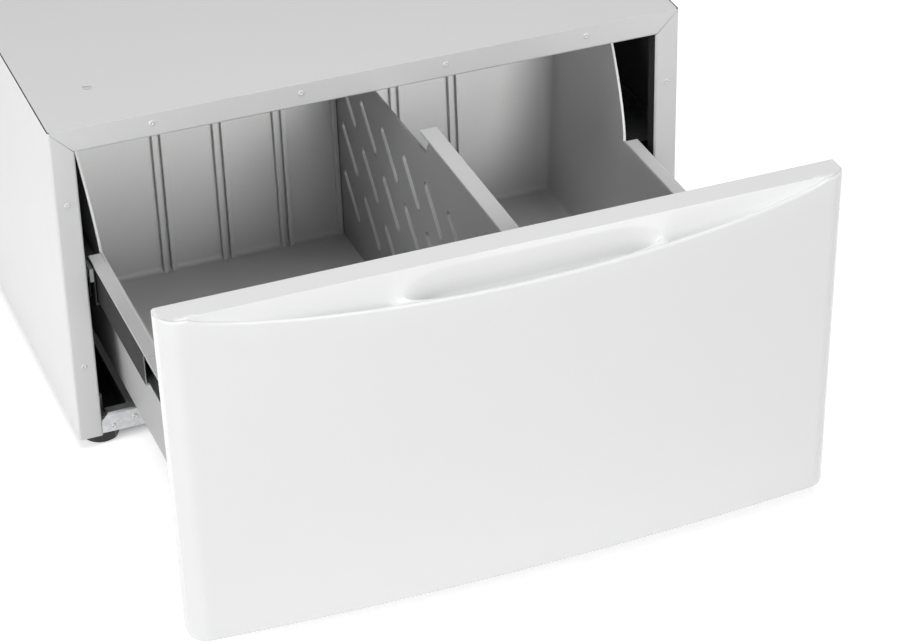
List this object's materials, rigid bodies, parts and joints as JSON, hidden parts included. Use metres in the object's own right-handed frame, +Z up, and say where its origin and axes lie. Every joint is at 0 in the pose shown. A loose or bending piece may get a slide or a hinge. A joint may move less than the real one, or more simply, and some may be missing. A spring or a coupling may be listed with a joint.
{
  "type": "pedestal drawer for a laundry machine",
  "caption": "Low steel cabinet on levelling feet with a wide drawer on telescoping ball slides, a bowed front with a finger scoop and a slotted divider.",
  "frame": {"origin": "centre of the bounding box on the floor, with the drawer standing open as stored", "axes": "+Z up, front of the drawer towards -Y, +X to the right seen from the front"},
  "size_m": [0.686, 1.0638, 0.381],
  "materials": {
    "white_enamel": "gloss white enamel",
    "primer_white": "satin white",
    "galvanised": "galvanised",
    "slide_steel": "zinc plated",
    "cage_steel": "plain",
    "ball_steel": "polished",
    "bin_grey": "fine texture",
    "front_white": "gloss white",
    "bumper_rubber": "soft",
    "divider_grey": "satin",
    "bar_grey": "satin",
    "foot_black": "satin black"
  },
  "bodies": {
    "cabinet": {"left_side_panel": "white_enamel", "right_side_panel": "white_enamel", "front_top_rail": "white_enamel", "top_deck": "primer_white", "front_deck_brace": "galvanised", "rear_deck_brace": "galvanised", "rear_panel": "primer_white", "front_bottom_rail": "galvanised", "rear_bottom_rail": "galvanised", "left_base_channel": "galvanised", "right_base_channel": "galvanised", "left_slide_bracket": "galvanised", "right_slide_bracket": "galvanised", "left_slide_outer": "slide_steel", "right_slide_outer": "slide_steel", "slide_front_clips": "galvanised", "frame_rivets": "white_enamel", "base_rail_rivets": "galvanised", "cabinet_screws": "galvanised", "foot_weld_nuts": "galvanised"},
    "drawer": {"drawer_bin": "bin_grey", "drawer_front": "front_white", "front_inner_panel": "primer_white", "left_slide_inner": "slide_steel", "right_slide_inner": "slide_steel", "slide_screws": "galvanised", "front_screws": "galvanised", "drawer_bumpers": "bumper_rubber"},
    "divider": {"divider_plate": "divider_grey", "divider_bar": "bar_grey"},
    "left_intermediate": {"left_slide_intermediate": "slide_steel"},
    "left_outer_cage": {"left_outer_cage": "cage_steel", "left_outer_balls": "ball_steel"},
    "left_inner_cage": {"left_inner_cage": "cage_steel", "left_inner_balls": "ball_steel"},
    "right_intermediate": {"right_slide_intermediate": "slide_steel"},
    "right_outer_cage": {"right_outer_cage": "cage_steel", "right_outer_balls": "ball_steel"},
    "right_inner_cage": {"right_inner_cage": "cage_steel", "right_inner_balls": "ball_steel"},
    "front_left_levelling_foot": {"front_left_foot": "foot_black", "front_left_stem": "galvanised"},
    "front_right_levelling_foot": {"front_right_foot": "foot_black", "front_right_stem": "galvanised"},
    "rear_left_levelling_foot": {"rear_left_foot": "foot_black", "rear_left_stem": "galvanised"},
    "rear_right_levelling_foot": {"rear_right_foot": "foot_black", "rear_right_stem": "galvanised"}
  },
  "joints": [
    {"name": "drawer_slide", "type": "slide", "parent": "cabinet", "child": "drawer", "axis": [0, -1, 0], "range_m": [-0.349, 0.125]},
    {"name": "divider_lift", "type": "slide", "parent": "drawer", "child": "divider", "axis": [0, 0, 1], "range_m": [0, 0.028]},
    {"name": "left_intermediate_slide", "type": "slide", "parent": "cabinet", "child": "left_intermediate", "axis": [0, -1, 0], "range_m": [-0.1745, 0.0625]},
    {"name": "left_outer_cage_slide", "type": "slide", "parent": "cabinet", "child": "left_outer_cage", "axis": [0, -1, 0], "range_m": [-0.08725, 0.03125]},
    {"name": "left_inner_cage_slide", "type": "slide", "parent": "cabinet", "child": "left_inner_cage", "axis": [0, -1, 0], "range_m": [-0.26175, 0.09375]},
    {"name": "right_intermediate_slide", "type": "slide", "parent": "cabinet", "child": "right_intermediate", "axis": [0, -1, 0], "range_m": [-0.1745, 0.0625]},
    {"name": "right_outer_cage_slide", "type": "slide", "parent": "cabinet", "child": "right_outer_cage", "axis": [0, -1, 0], "range_m": [-0.08725, 0.03125]},
    {"name": "right_inner_cage_slide", "type": "slide", "parent": "cabinet", "child": "right_inner_cage", "axis": [0, -1, 0], "range_m": [-0.26175, 0.09375]},
    {"name": "front_left_foot_height", "type": "slide", "parent": "cabinet", "child": "front_left_levelling_foot", "axis": [0, 0, -1], "range_m": [0, 0.025]},
    {"name": "front_right_foot_height", "type": "slide", "parent": "cabinet", "child": "front_right_levelling_foot", "axis": [0, 0, -1], "range_m": [0, 0.025]},
    {"name": "rear_left_foot_height", "type": "slide", "parent": "cabinet", "child": "rear_left_levelling_foot", "axis": [0, 0, -1], "range_m": [0, 0.025]},
    {"name": "rear_right_foot_height", "type": "slide", "parent": "cabinet", "child": "rear_right_levelling_foot", "axis": [0, 0, -1], "range_m": [0, 0.025]}
  ],
  "couplings": [
    {"joint": "left_intermediate_slide", "follows": "drawer_slide", "ratio": 0.5},
    {"joint": "left_outer_cage_slide", "follows": "drawer_slide", "ratio": 0.25},
    {"joint": "left_inner_cage_slide", "follows": "drawer_slide", "ratio": 0.75},
    {"joint": "right_intermediate_slide", "follows": "drawer_slide", "ratio": 0.5},
    {"joint": "right_outer_cage_slide", "follows": "drawer_slide", "ratio": 0.25},
    {"joint": "right_inner_cage_slide", "follows": "drawer_slide", "ratio": 0.75}
  ]
}
